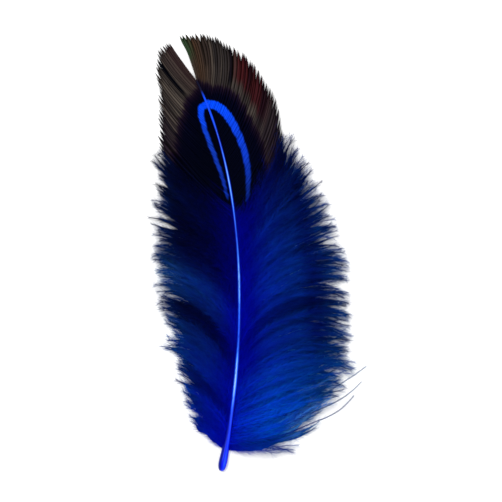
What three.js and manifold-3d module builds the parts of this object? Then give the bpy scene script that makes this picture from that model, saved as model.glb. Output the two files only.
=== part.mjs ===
// A pheasant's body feather, dyed blue, lying on a flat surface with its upper side up.
// Millimetres. +Z is up, +Y runs from the quill towards the tip, and +X is to the right seen from above.
// The origin is on the flat underside of the bare quill, where the feather rests.
//
// A feather is a shaft with barbs on both sides. Near the tip the barbs hook together into two firm
// vanes. Lower down they are loose, and stand in soft locks that are dense beside the shaft.
import * as THREE from "three";
import { mergeVertices } from "three/addons/utils/BufferGeometryUtils.js";
import Module from "manifold-3d";

const wasm = await Module();
wasm.setup();

// The shaft's route seen from above, from the cut end of the quill to the last barbs
const SHAFT_ROUTE = new THREE.CubicBezierCurve(
  new THREE.Vector2(-0.7, -3.0),
  new THREE.Vector2(2.8, 12.9),
  new THREE.Vector2(4.7, 39.7),
  new THREE.Vector2(-4.6, 58.5),
);
const SHAFT_SIDES = 8;
const SHAFT_STEPS = 40;
const SHAFT_WIDTH = 1.1; // just above the quill
const SHAFT_TIP_WIDTH = 0.28;
const SHAFT_FLATNESS = 0.85; // height over width
const QUILL_WIDTH = 1.5;
const QUILL_SHARE = 0.12; // share of the route over which the quill narrows to the shaft
const QUILL_END_SHARE = 0.025; // share of the route over which its cut end is drawn in
const QUILL_END_WIDTH = 0.45; // share of the width that is left at the cut
const FLAT_SHARE = 0.17; // share of the route that lies flat on the surface
const ARCH_HEIGHT = 3.0; // how far the shaft's underside rises in the middle
const TIP_HEIGHT = 0.7; // and at its tip

// How the barbs stand along the shaft. Each row has: the share of the route where the barb grows,
// its angle to the shaft at the root and at the tip in degrees, and its length.
const LEFT_BARBS = [
  [0.07, 55, 60, 4.5],
  [0.14, 45, 62, 10.5],
  [0.28, 32, 72, 15.5],
  [0.45, 34, 70, 16.5],
  [0.6, 44, 34, 17],
  [0.72, 44, 22, 16],
  [0.84, 40, 16, 14.5],
  [0.93, 32, 10, 12],
  [1.0, 14, 4, 7.5],
];
const RIGHT_BARBS = [
  [0.07, 70, 95, 9],
  [0.14, 58, 98, 15.5],
  [0.28, 36, 88, 19],
  [0.45, 36, 74, 18.5],
  [0.53, 40, 46, 17.5],
  [0.61, 45, 15, 17],
  [0.72, 50, 19, 16],
  [0.84, 54, 13, 14.5],
  [0.93, 42, 4, 11.5],
  [1.0, 12, -2, 7.5],
];
const BARB_GAP = 0.1; // between the shaft's side and the barbs

// The firm vanes
const VANE_START = 0.6; // share of the route where the barbs begin to hook together
const VANE_THICKNESS = 0.4;
const VANE_EDGE_THICKNESS = 0.16;
const VANE_EDGE_HEIGHT = 0.35; // how far the drooping edge stays above the surface
const VANE_LOCKS = 10; // on each side
const VANE_LOCK_COLUMNS = [0, 0.12, 0.5, 0.88]; // where a lock's outline has points, across it
const VANE_LOCK_ROUNDING = 0.06; // share of a barb's length that a lock's sides fall short
const VANE_NOTCH = 0.16; // share of it that is free between two locks
const VANE_SPLIT = 0.55; // and where the vane has come unhooked
const LEFT_SPLITS = [2, 6]; // after which locks it has
const RIGHT_SPLITS = [4, 7];
const VANE_ROWS = 6;

// The loose down
const DOWN_START = 0.075;
const DOWN_END = 0.59;
const DOWN_LOFT = 1.5; // how far the upper layer of locks stands above the barbs' roots
const DOWN_SINK = 1.3; // how far the lower layer hangs below them
const DOWN_TIP_HEIGHT = 0.8;
const DOWN_FULL_LENGTH = 14; // barbs this long and longer loft fully
const CORE_REACH = 0.3; // share of a barb's length that is dense beside the shaft
const CORE_INNER_THICKNESS = 1.0;
const CORE_OUTER_THICKNESS = 0.66;
const CORE_END_THICKNESS = 0.6; // share of the thickness that is left at its two ends
const CORE_STEPS = 18;
const LOCKS_IN_LAYER = 11; // on each side
const LOCK_LAYERS = [
  { rise: DOWN_LOFT, place: 0.3 }, // where in its step along the shaft a lock of this layer grows
  { rise: -DOWN_SINK, place: 0.7 },
];
const LOCK_LENGTHS = [1, 0.93, 0.86]; // taken in turn
const LOCK_HALF_WIDTH = 1.75;
const LOCK_HALF_HEIGHT = 0.75;
const LOCK_ROOT = 0.05; // share of a barb's length at which a lock begins
const LOCK_ROOT_FULLNESS = 0.36; // share of its width there
const LOCK_FULL_AT = 0.34; // share of a barb's length at which it is widest
const LOCK_TIP_FULLNESS = 0.03;
const LOCK_SIDES = 6;
const LOCK_STEPS = 6;

const mix = THREE.MathUtils.lerp;

// The shaft's width at a share of its route: the quill is widest, and its end is drawn in.
function shaftWidth(t) {
  const taper = mix(SHAFT_WIDTH, SHAFT_TIP_WIDTH, t);
  const quill = (QUILL_WIDTH - SHAFT_WIDTH) * (1 - THREE.MathUtils.smoothstep(t, 0, QUILL_SHARE));
  const drawnIn = mix(QUILL_END_WIDTH, 1, Math.sqrt(Math.min(1, t / QUILL_END_SHARE)));
  return (taper + quill) * drawnIn;
}

// The height of the shaft's underside above the surface.
function shaftLift(t) {
  const along = Math.max(0, (t - FLAT_SHARE) / (1 - FLAT_SHARE));
  return ARCH_HEIGHT * Math.sin(Math.PI * along) ** 2 + TIP_HEIGHT * along ** 2;
}

// The height at which barbs leave the shaft's sides.
function rootHeight(t) {
  return shaftLift(t) + (SHAFT_FLATNESS * shaftWidth(t)) / 2;
}

// What a barb that grows at a share of the route is like. side is -1 on the left and 1 on the right.
function barbShape(side, t) {
  const table = side < 0 ? LEFT_BARBS : RIGHT_BARBS;
  const after = Math.max(1, table.findIndex((row) => row[0] >= t));
  const [low, high] = [table[after - 1], table[after]];
  const share = (t - low[0]) / (high[0] - low[0]);
  const [rootDegrees, tipDegrees, length] = [1, 2, 3].map((i) => mix(low[i], high[i], share));
  const start = THREE.MathUtils.degToRad(rootDegrees);
  return { start, turn: THREE.MathUtils.degToRad(tipDegrees) - start, length };
}

// A point on a barb and the barb's direction there. Seen from above a barb is an arc of a circle.
// v runs from 0 at the root to 1 at the tip, and reach shortens the barb.
function onBarb(side, t, v, reach = 1) {
  const { start, turn, length } = barbShape(side, t);
  const angle = start + turn * v * reach;
  const radius = length / turn;
  const along = radius * (Math.sin(angle) - Math.sin(start));
  const across = radius * (Math.cos(start) - Math.cos(angle)) + shaftWidth(t) / 2 + BARB_GAP;
  const tangent = SHAFT_ROUTE.getTangent(t);
  const outward = new THREE.Vector2(tangent.y, -tangent.x).multiplyScalar(side);
  const point = SHAFT_ROUTE.getPoint(t).addScaledVector(tangent, along).addScaledVector(outward, across);
  const direction = tangent.multiplyScalar(Math.cos(angle)).addScaledVector(outward, Math.sin(angle));
  return { point, direction };
}

// Moves every vertex of a geometry to a place worked out from where it was, and joins its seams.
function bent(geometry, place) {
  const position = geometry.attributes.position;
  const vertex = new THREE.Vector3();
  for (let i = 0; i < position.count; i++) {
    vertex.fromBufferAttribute(position, i);
    position.setXYZ(i, ...place(vertex.x, vertex.y, vertex.z));
  }
  geometry.deleteAttribute("normal");
  geometry.deleteAttribute("uv");
  return mergeVertices(geometry, 1e-4);
}

// Turns the faces round on the right side, where bending a block along the barbs has mirrored it.
function facingOut(geometry, side) {
  const corners = geometry.index.array;
  for (let i = 0; side > 0 && i < corners.length; i += 3) {
    [corners[i], corners[i + 1]] = [corners[i + 1], corners[i]];
  }
  return geometry;
}

function toSolid(geometry) {
  const vertProperties = geometry.attributes.position.array;
  const triVerts = new Uint32Array(geometry.index.array);
  return new wasm.Manifold(new wasm.Mesh({ numProp: 3, vertProperties, triVerts }));
}

function toGeometry(solid) {
  const mesh = solid.getMesh();
  const geometry = new THREE.BufferGeometry();
  geometry.setAttribute("position", new THREE.BufferAttribute(mesh.vertProperties, 3));
  geometry.setIndex(new THREE.BufferAttribute(mesh.triVerts, 1));
  return geometry;
}

// Fills the closed gaps that overlapping shapes leave between them: a gap's skin has a volume below
// zero, so the outer skin is the one with the largest volume.
function withoutHollows(solid) {
  const skins = solid.decompose();
  return skins.reduce((outer, skin) => (skin.volume() > outer.volume() ? skin : outer));
}

// The shaft: a tapering rod with a flat underside, from the bare quill to the tip
function shaftGeometry() {
  const halfSide = Math.PI / SHAFT_SIDES;
  const rod = new THREE.CylinderGeometry(1, 1, 1, SHAFT_SIDES, SHAFT_STEPS, false, halfSide);
  const flat = Math.cos(halfSide); // how far from the axis the section's sides lie
  return bent(rod, (x, y, z) => {
    const t = y + 0.5;
    const tangent = SHAFT_ROUTE.getTangent(t);
    const centre = SHAFT_ROUTE.getPoint(t);
    const halfWidth = shaftWidth(t) / 2;
    const height = shaftLift(t) + (z / flat + 1) * halfWidth * SHAFT_FLATNESS;
    return [centre.x + tangent.y * x * halfWidth, centre.y - tangent.x * x * halfWidth, height];
  });
}

// How much of its barbs' length a vane keeps at a place counted in locks from its start: all of it
// in the middle of a lock, and less at the notches and splits between locks.
function vaneReach(place, splits) {
  const isNotch = Number.isInteger(place) && place > 0 && place < VANE_LOCKS;
  if (isNotch) return 1 - (splits.includes(place) ? VANE_SPLIT : VANE_NOTCH);
  return 1 - VANE_LOCK_ROUNDING * Math.abs(2 * (place % 1) - 1);
}

// A firm vane: a thin plate that bows down from the shaft to its notched edge
function vaneGeometry(side, splits) {
  const places = [];
  for (let lock = 0; lock < VANE_LOCKS; lock++) {
    places.push(...VANE_LOCK_COLUMNS.map((column) => lock + column));
  }
  places.push(VANE_LOCKS);
  const last = places.length - 1;
  const plate = new THREE.BoxGeometry(1, 1, 1, last, VANE_ROWS, 1);
  const vane = bent(plate, (x, y, z) => {
    const place = places[Math.round((x + 0.5) * last)];
    const t = mix(VANE_START, 1, place / VANE_LOCKS);
    const v = y + 0.5;
    const reach = vaneReach(place, splits);
    const { point } = onBarb(side, t, v, reach);
    const height = mix(rootHeight(t), VANE_EDGE_HEIGHT, (v * reach) ** 2);
    const thickness = Math.min(mix(VANE_THICKNESS, VANE_EDGE_THICKNESS, v), shaftWidth(t));
    return [point.x, point.y, height + z * thickness];
  });
  return facingOut(vane, side);
}

// The height of the down's middle at a place on a barb. rise is how far the layer that the barb is
// in stands above the others halfway out. Short barbs keep closer together.
function downHeight(side, t, v, rise) {
  const hang = mix(rootHeight(t), DOWN_TIP_HEIGHT, v ** 1.5);
  const swell = Math.min(1, barbShape(side, t).length / DOWN_FULL_LENGTH) * Math.sin(Math.PI * v ** 0.9);
  return hang + rise * swell;
}

// The dense part of the down: a slab along the shaft that is thinner outwards and at its ends
function downCore(side) {
  const slab = new THREE.BoxGeometry(1, 1, 1, CORE_STEPS, 3, 1);
  const core = bent(slab, (x, y, z) => {
    const t = mix(DOWN_START, DOWN_END, x + 0.5);
    const v = (y + 0.5) * CORE_REACH;
    const { point } = onBarb(side, t, v);
    const middle = Math.sqrt(Math.sin(Math.PI * (x + 0.5)));
    const thickness = mix(CORE_INNER_THICKNESS, CORE_OUTER_THICKNESS, y + 0.5);
    const height = downHeight(side, t, v, 0) + z * thickness * mix(CORE_END_THICKNESS, 1, middle);
    return [point.x, point.y, Math.max(0, height)];
  });
  return facingOut(core, side);
}

// A lock of down: a flattened spindle along a barb, from inside the dense part to a fine tip
function downLock(side, t, rise, reach) {
  const spindle = new THREE.CylinderGeometry(1, 1, 1, LOCK_SIDES, LOCK_STEPS);
  return bent(spindle, (x, y, z) => {
    const v = mix(LOCK_ROOT, 1, y + 0.5);
    const { point, direction } = onBarb(side, t, v, reach);
    const opening = mix(LOCK_ROOT_FULLNESS, 1, Math.min(1, (v - LOCK_ROOT) / (LOCK_FULL_AT - LOCK_ROOT)));
    const fullness = opening * (1 - v ** 2.6) ** 0.8 + LOCK_TIP_FULLNESS;
    const sideways = x * LOCK_HALF_WIDTH * fullness;
    const halfHeight = LOCK_HALF_HEIGHT * fullness;
    const height = Math.max(halfHeight, downHeight(side, t, v, rise)) + z * halfHeight;
    return [point.x + direction.y * sideways, point.y - direction.x * sideways, height];
  });
}

// All of the down on one side, as one solid
function downGeometry(side) {
  let solid = toSolid(downCore(side));
  const step = (DOWN_END - DOWN_START) / LOCKS_IN_LAYER;
  let made = 0;
  for (let i = 0; i < LOCKS_IN_LAYER; i++) {
    for (const { rise, place } of LOCK_LAYERS) {
      const t = DOWN_START + step * (i + place);
      const reach = LOCK_LENGTHS[made++ % LOCK_LENGTHS.length];
      solid = solid.add(toSolid(downLock(side, t, rise, reach)));
    }
  }
  return toGeometry(withoutHollows(solid));
}

function piece(name, geometry, color, roughness) {
  const mesh = new THREE.Mesh(geometry, new THREE.MeshStandardMaterial({ color, roughness, metalness: 0 }));
  mesh.name = name;
  return mesh;
}

const BRIGHT_BLUE = 0x2a6fe0;
const NEAR_BLACK = 0x14131f;
const DEEP_BLUE = 0x0a2fb0;

const feather = new THREE.Group();
feather.add(
  piece("shaft", shaftGeometry(), BRIGHT_BLUE, 0.35),
  piece("left_vane", vaneGeometry(-1, LEFT_SPLITS), NEAR_BLACK, 0.6),
  piece("right_vane", vaneGeometry(1, RIGHT_SPLITS), NEAR_BLACK, 0.6),
  piece("left_down", downGeometry(-1), DEEP_BLUE, 0.8),
  piece("right_down", downGeometry(1), DEEP_BLUE, 0.8),
);

export default feather;
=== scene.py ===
import math

import bmesh
import bpy
import numpy as np
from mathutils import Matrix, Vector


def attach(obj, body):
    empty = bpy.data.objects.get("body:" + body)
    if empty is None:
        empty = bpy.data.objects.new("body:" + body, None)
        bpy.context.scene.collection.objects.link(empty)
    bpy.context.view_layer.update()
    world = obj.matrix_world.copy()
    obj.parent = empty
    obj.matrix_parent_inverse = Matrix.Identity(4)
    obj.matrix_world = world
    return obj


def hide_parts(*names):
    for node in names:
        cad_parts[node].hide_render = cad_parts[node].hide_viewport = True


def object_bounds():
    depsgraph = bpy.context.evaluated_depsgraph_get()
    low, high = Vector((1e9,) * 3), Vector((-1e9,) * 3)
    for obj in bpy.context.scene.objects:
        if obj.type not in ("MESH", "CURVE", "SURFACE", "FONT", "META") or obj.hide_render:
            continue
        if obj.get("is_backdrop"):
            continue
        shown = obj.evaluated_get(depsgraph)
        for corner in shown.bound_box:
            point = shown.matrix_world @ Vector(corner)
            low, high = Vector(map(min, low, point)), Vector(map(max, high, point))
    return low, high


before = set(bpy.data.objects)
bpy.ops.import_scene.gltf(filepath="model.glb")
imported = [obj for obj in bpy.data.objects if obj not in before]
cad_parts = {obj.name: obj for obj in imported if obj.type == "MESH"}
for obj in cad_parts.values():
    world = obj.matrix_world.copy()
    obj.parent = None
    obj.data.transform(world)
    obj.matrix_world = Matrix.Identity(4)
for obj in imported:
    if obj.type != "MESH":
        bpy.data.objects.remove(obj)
cad_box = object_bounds()
MM = 0.001
bpy.ops.object.select_all(action="DESELECT")


# The camera looks straight down on the feather, as the photograph does, with the tip at the top.
# It is far enough back for a flat view, and the feather fills most of the frame's height.
VIEW_CENTRE = (4.0, 31.6)  # mm, the middle of the feather
VIEW_HEIGHT = 79.0  # mm of the surface that the frame shows
CAMERA_DISTANCE = 0.42  # metres above the surface
CAMERA_SENSOR = 36.0  # mm

camera_data = bpy.data.cameras.new("camera")
camera_data.sensor_width = CAMERA_SENSOR
camera_data.lens = CAMERA_SENSOR * CAMERA_DISTANCE / (VIEW_HEIGHT * MM)
camera_data.clip_start = 0.01
camera = bpy.data.objects.new("camera", camera_data)
camera.location = (VIEW_CENTRE[0] * MM, VIEW_CENTRE[1] * MM, CAMERA_DISTANCE)
bpy.context.collection.objects.link(camera)
bpy.context.scene.camera = camera
bpy.context.scene.view_settings.view_transform = "Standard"


# The surface is plain and nearly white. One large soft light stands at the upper left, a weaker one
# at the lower right, and the room is a pale grey.
SURFACE_SIZE = 3.0  # metres
SURFACE_PALENESS = 0.9
ROOM_BRIGHTNESS = 0.45

bpy.ops.mesh.primitive_plane_add(size=SURFACE_SIZE, location=(0, 0, 0))
surface = bpy.context.object
surface.name = "surface"
surface_material = bpy.data.materials.new("pale surface")
surface_material.use_nodes = True
surface_shader = surface_material.node_tree.nodes["Principled BSDF"]
surface_shader.inputs["Base Color"].default_value = (*[SURFACE_PALENESS] * 3, 1)
surface_shader.inputs["Roughness"].default_value = 0.8
surface_shader.inputs["Specular IOR Level"].default_value = 0.1
surface.data.materials.append(surface_material)
surface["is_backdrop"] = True


def soft_light(name, place, size, power):
    """A square light at a place in metres, turned towards the feather."""
    data = bpy.data.lights.new(name, "AREA")
    data.size = size
    data.energy = power
    light = bpy.data.objects.new(name, data)
    light.location = place
    to_feather = camera.location.copy() - light.location
    to_feather.z = -light.location.z
    light.rotation_euler = to_feather.to_track_quat("-Z", "Y").to_euler()
    bpy.context.collection.objects.link(light)


soft_light("key light", place=(-0.16, 0.24, 0.5), size=0.3, power=2.9)
soft_light("fill light", place=(0.24, -0.12, 0.5), size=0.4, power=1.3)

world = bpy.data.worlds.new("pale room")
world.use_nodes = True
world.node_tree.nodes["Background"].inputs["Color"].default_value = (1, 1, 1, 1)
world.node_tree.nodes["Background"].inputs["Strength"].default_value = ROOM_BRIGHTNESS
bpy.context.scene.world = world


# The shaft is one rod of horn that took the dye: a bare round quill, then a rod that tapers to the tip,
# grooved underneath. The pale line along its rounded top is partly paler horn and partly a painted
# highlight. Every barb grows from its two sides.
# Sizes are in mm, and places along it are shares of its route from the quill's end to the tip.
ROUTE = np.array([(-0.7, -3.0), (2.8, 12.9), (4.7, 39.7), (-4.6, 58.5)])  # a curve seen from above
SHAFT_WIDTH = 1.1
SHAFT_TIP_WIDTH = 0.28
SHAFT_FLATNESS = 0.85  # its height in widths
QUILL_WIDTH = 1.5
QUILL_SHARE = 0.12
QUILL_END_SHARE = 0.025  # the quill is drawn in to its end over this stretch
QUILL_END_WIDTH = 0.45  # share of the quill's width
FLAT_SHARE = 0.17  # the shaft lies on the surface up to here
ARCH_HEIGHT = 3.0
TIP_HEIGHT = 0.7
SHAFT_SIDES = 16
SHAFT_STATIONS = 56
STATION_CROWDING = 1.15  # above 1, the stations stand closer together towards the quill
GROOVE_START = 0.16
GROOVE_DEPTH = 0.22  # in shaft widths
UNDERSIDE = 0.47  # points more than this below a ring's middle, in shaft heights, are its underside
QUILL_WALL = 0.12
QUILL_HOLLOW = 1.2
CUT_END_DEPTH = 0.2  # in widths of the quill's end
PALE_HIGHLIGHT_ASIDE = 0.4  # on the quill, in half widths right of the middle: there the line is all painted highlight
PALE_HIGHLIGHT_RETURN = (0.08, 0.2)  # it comes to the middle over this stretch
HIGHLIGHT_PATCH_AT = 0.265  # middle of the lowest patch of painted highlight, where the pale line is strong
HIGHLIGHT_PATCH_TURN = 26.6  # radians of the patches' rhythm along the whole route
HIGHLIGHT_PATCH_STRENGTH = 0.16  # half widths that a patch adds to the line
PALE_HIGHLIGHT_THINNING = 0.12  # half widths that the line lacks all along
HORN_GRAIN = 900  # noise scale, for metres
HORN_GRAIN_STRETCH = 0.06
HORN_UNEVENNESS = 0.35  # half widths
HORN_BUMP = 0.05


def smooth(x, low=0.0, high=1.0):
    """0 below low, 1 above high, and a soft step between them."""
    share = np.clip((np.asarray(x, float) - low) / (high - low), 0, 1)
    return share * share * (3 - 2 * share)


def mix(a, b, share):
    return a + (b - a) * share


def route_point(t):
    t = np.asarray(t, float)[..., None]
    a, b, c, d = ROUTE
    return (1 - t) ** 3 * a + 3 * (1 - t) ** 2 * t * b + 3 * (1 - t) * t**2 * c + t**3 * d


def route_direction(t):
    t = np.asarray(t, float)[..., None]
    a, b, c, d = ROUTE
    slope = (1 - t) ** 2 * (b - a) + 2 * (1 - t) * t * (c - b) + t**2 * (d - c)
    return slope / np.linalg.norm(slope, axis=-1, keepdims=True)


def shaft_width(t):
    t = np.asarray(t, float)
    taper = mix(SHAFT_WIDTH, SHAFT_TIP_WIDTH, t)
    quill = (QUILL_WIDTH - SHAFT_WIDTH) * (1 - smooth(t, 0, QUILL_SHARE))
    drawn_in = mix(QUILL_END_WIDTH, 1, np.sqrt(np.minimum(1, t / QUILL_END_SHARE)))
    return (taper + quill) * drawn_in


def shaft_lift(t):
    along = np.maximum(0, (np.asarray(t, float) - FLAT_SHARE) / (1 - FLAT_SHARE))
    return ARCH_HEIGHT * np.sin(math.pi * along) ** 2 + TIP_HEIGHT * along**2


def root_height(t):
    return shaft_lift(t) + SHAFT_FLATNESS * shaft_width(t) / 2


def select_where(test):
    """In edit mode, selects the vertices whose place passes a test."""
    edited = bmesh.from_edit_mesh(bpy.context.object.data)
    edited.select_mode = {"VERT"}
    for vertex in edited.verts:
        vertex.select = bool(test(bpy.context.object.matrix_world @ vertex.co))
    edited.select_flush_mode()
    bmesh.update_edit_mesh(bpy.context.object.data)


# one ring of the shaft after another is extruded along the route, and turned and sized as it goes
stations = np.linspace(0, 1, SHAFT_STATIONS) ** STATION_CROWDING
centres = np.c_[route_point(stations), root_height(stations)] * MM
headings = np.arctan2(route_direction(stations)[:, 0], route_direction(stations)[:, 1])
widths = shaft_width(stations) * MM
groove_station = int(np.searchsorted(stations, GROOVE_START))
bpy.ops.mesh.primitive_circle_add(
    vertices=SHAFT_SIDES, radius=widths[0] / 2, location=centres[0], rotation=(math.pi / 2, 0, 0)
)
shaft = bpy.context.object
shaft.name = "feather_shaft"
bpy.ops.object.mode_set(mode="EDIT")
bpy.ops.mesh.select_all(action="SELECT")
bpy.ops.transform.resize(value=(1, 1, SHAFT_FLATNESS), center_override=centres[0])
bpy.ops.transform.rotate(value=headings[0], orient_axis="Z", center_override=centres[0])
for i in range(1, SHAFT_STATIONS):
    grow = widths[i] / widths[i - 1]
    turn = headings[i] - headings[i - 1]
    bpy.ops.mesh.extrude_region_move(TRANSFORM_OT_translate={"value": tuple(centres[i] - centres[i - 1])})
    bpy.ops.transform.resize(value=(grow, grow, grow), center_override=centres[i])
    bpy.ops.transform.rotate(value=turn, orient_axis="Z", center_override=centres[i])
    if i == groove_station:
        behind = centres[i][1] - widths[i] / 4
        low = centres[i][2] - UNDERSIDE * widths[i] * SHAFT_FLATNESS
        select_where(lambda place: place.y > behind and place.z < low)
        bpy.ops.transform.translate(value=(0, 0, GROOVE_DEPTH * widths[i]))
        select_where(lambda place: place.y > behind)
bpy.ops.mesh.select_all(action="SELECT")
bpy.ops.mesh.fill_holes(sides=0)

# the cut end of the quill is a little hollow
cut_end = centres[0][1] + CUT_END_DEPTH * widths[0]
select_where(lambda place: place.y < cut_end)
inwards = route_direction(0) * QUILL_HOLLOW * MM
bpy.ops.mesh.inset(thickness=QUILL_WALL * MM)
bpy.ops.mesh.extrude_region_move(TRANSFORM_OT_translate={"value": (*inwards, 0)})
bpy.ops.mesh.select_all(action="SELECT")
bpy.ops.mesh.normals_make_consistent(inside=False)
bpy.ops.object.mode_set(mode="OBJECT")
bpy.ops.object.transform_apply(location=True, rotation=True, scale=True)
bpy.ops.object.modifier_add(type="SUBSURF")
shaft.modifiers[-1].levels = 1
shaft.modifiers[-1].render_levels = 1
bpy.ops.object.modifier_apply(modifier=shaft.modifiers[-1].name)
bpy.ops.object.shade_smooth()


def read_all(items, key, width=1, kind=np.float32):
    """A value, or a row of width values, of each of a mesh's vertices, corners or faces."""
    values = np.empty(len(items) * width, kind)
    items.foreach_get(key, values)
    return values.reshape(-1, width) if width > 1 else values


def places_of(mesh):
    """The places of a mesh's vertices in mm."""
    return read_all(mesh.vertices, "co", width=3, kind=float) / MM


def add_attribute(mesh, name, values):
    layer = mesh.attributes.new(name, "FLOAT", "POINT")
    layer.data.foreach_set("value", np.ascontiguousarray(values, dtype=np.float32).ravel())


# each point of the shaft knows its share of the route and how far it is from the pale line, partly a
# painted highlight, which lies right of the middle on the quill
shaft_places = places_of(shaft.data)
fine_shares = np.linspace(0, 1, 800)
shaft_shares = np.interp(shaft_places[:, 1], route_point(fine_shares)[:, 1], fine_shares)
to_side = shaft_places[:, :2] - route_point(shaft_shares)
shaft_right = route_direction(shaft_shares)[:, ::-1] * (1, -1)
across_shaft = (to_side * shaft_right).sum(axis=1) / shaft_width(shaft_shares) * 2
pale_highlight = PALE_HIGHLIGHT_ASIDE * (1 - smooth(shaft_shares, *PALE_HIGHLIGHT_RETURN))
add_attribute(shaft.data, "along", shaft_shares)
add_attribute(shaft.data, "aside", np.abs(across_shaft - pale_highlight))


def display(red, green, blue):
    """The linear colour of a colour given as it looks on a screen, from 0 to 255."""
    parts = np.array([red, green, blue]) / 255
    linear = np.where(parts < 0.04045, parts / 12.92, ((parts + 0.055) / 1.055) ** 2.4)
    return (*[float(part) for part in linear], 1.0)


def new_material(name, roughness, specular):
    material = bpy.data.materials.new(name)
    material.use_nodes = True
    shader = material.node_tree.nodes["Principled BSDF"]
    shader.inputs["Roughness"].default_value = roughness
    shader.inputs["Specular IOR Level"].default_value = specular
    shader.inputs["Specular Tint"].default_value = (0.2, 0.35, 1, 1)
    return material, material.node_tree, shader


def attributes(tree, *names):
    nodes = [tree.nodes.new("ShaderNodeAttribute") for _ in names]
    for node, name in zip(nodes, names):
        node.attribute_name = name
    return [node.outputs["Fac"] for node in nodes]


def ramp(tree, value, stops):
    """A colour ramp: stops are (position, colour)."""
    node = tree.nodes.new("ShaderNodeValToRGB")
    elements = node.color_ramp.elements
    for element, (position, colour) in zip(elements, (stops[0], stops[-1])):
        element.position = position
        element.color = colour
    for position, colour in stops[1:-1]:
        elements.new(position).color = colour
    tree.links.new(value, node.inputs["Fac"])
    return node.outputs["Color"]


def screen_ramp(tree, value, stops):
    """A colour ramp whose colours are given as they look on a screen, from 0 to 255."""
    return ramp(tree, value, [(position, display(*shown)) for position, shown in stops])


def share_ramp(tree, value, *stops):
    """A ramp of plain shares from 0 to 1: stops are (position, share)."""
    return ramp(tree, value, [(position, (share, share, share, 1)) for position, share in stops])


def blend_colours(tree, share, first, second, mode="MIX"):
    node = tree.nodes.new("ShaderNodeMix")
    node.data_type = "RGBA"
    node.blend_type = mode
    for value, socket in zip((share, first, second), (node.inputs[0], node.inputs[6], node.inputs[7])):
        if isinstance(value, (float, int, tuple)):
            socket.default_value = value
        else:
            tree.links.new(value, socket)
    return node.outputs[2]


def shaded(tree, colour, shade):
    return blend_colours(tree, 1.0, colour, shade, mode="MULTIPLY")


def calculate(tree, operation, *values):
    """One Math node, or one after another where more than two values are added or multiplied."""
    if len(values) > 2:
        values = (calculate(tree, operation, *values[:-1]), values[-1])
    node = tree.nodes.new("ShaderNodeMath")
    node.operation = operation
    for value, socket in zip(values, node.inputs):
        if isinstance(value, (float, int)):
            socket.default_value = value
        else:
            tree.links.new(value, socket)
    return node.outputs[0]


def horn_material():
    material, tree, shader = new_material("dyed quill horn and painted highlight", roughness=0.3, specular=0.5)
    along, aside = attributes(tree, "along", "aside")
    grain = tree.nodes.new("ShaderNodeTexNoise")
    grain.inputs["Scale"].default_value = HORN_GRAIN
    grain.inputs["Detail"].default_value = 4
    stretch = tree.nodes.new("ShaderNodeMapping")
    stretch.inputs["Scale"].default_value = (1, HORN_GRAIN_STRETCH, 1)
    place = tree.nodes.new("ShaderNodeTexCoord")
    tree.links.new(place.outputs["Object"], stretch.inputs["Vector"])
    tree.links.new(stretch.outputs["Vector"], grain.inputs["Vector"])
    unevenness = calculate(tree, "MULTIPLY", grain.outputs["Fac"], HORN_UNEVENNESS)

    # the pale line along the top is strong in three long patches of painted highlight and weak between them
    turn = calculate(tree, "MULTIPLY", calculate(tree, "SUBTRACT", along, HIGHLIGHT_PATCH_AT), HIGHLIGHT_PATCH_TURN)
    highlight_patches = calculate(tree, "MULTIPLY", calculate(tree, "COSINE", turn), -HIGHLIGHT_PATCH_STRENGTH)
    uneven_aside = calculate(tree, "ADD", aside, unevenness, highlight_patches, PALE_HIGHLIGHT_THINNING)
    upper_horn = screen_ramp(tree, uneven_aside, [
        (0.12, (178, 220, 255)), (0.36, (62, 140, 250)), (0.62, (2, 54, 222)), (0.95, (0, 4, 130)),
    ])
    quill_horn = screen_ramp(tree, uneven_aside, [
        (0.12, (26, 80, 255)), (0.4, (0, 24, 242)), (0.75, (0, 4, 196)), (1.0, (0, 0, 130)),
    ])
    upper_share = share_ramp(tree, along, (0.07, 0), (0.28, 1))
    horn = blend_colours(tree, upper_share, quill_horn, upper_horn)
    horn = shaded(tree, horn, share_ramp(tree, along, (0.42, 1), (0.52, 0.8), (0.86, 0.8)))

    # by the arch's top the shaft turns a plain, dull blue, and past it black
    tip_share = share_ramp(tree, along, (0.86, 0), (0.9, 1))
    end_share = share_ramp(tree, along, (0.95, 0), (0.97, 1))
    tip_horn = blend_colours(tree, end_share, display(10, 66, 225), display(14, 7, 20))
    tree.links.new(blend_colours(tree, tip_share, horn, tip_horn), shader.inputs["Base Color"])
    tree.links.new(share_ramp(tree, along, (0.86, 0.3), (0.96, 1)), shader.inputs["Roughness"])
    bump = tree.nodes.new("ShaderNodeBump")
    bump.inputs["Strength"].default_value = 0.25
    bump.inputs["Distance"].default_value = HORN_BUMP * MM
    tree.links.new(grain.outputs["Fac"], bump.inputs["Height"])
    tree.links.new(bump.outputs["Normal"], shader.inputs["Normal"])
    return material


shaft.data.materials.clear()
shaft.data.materials.append(horn_material())
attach(shaft, "root")
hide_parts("shaft")


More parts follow.
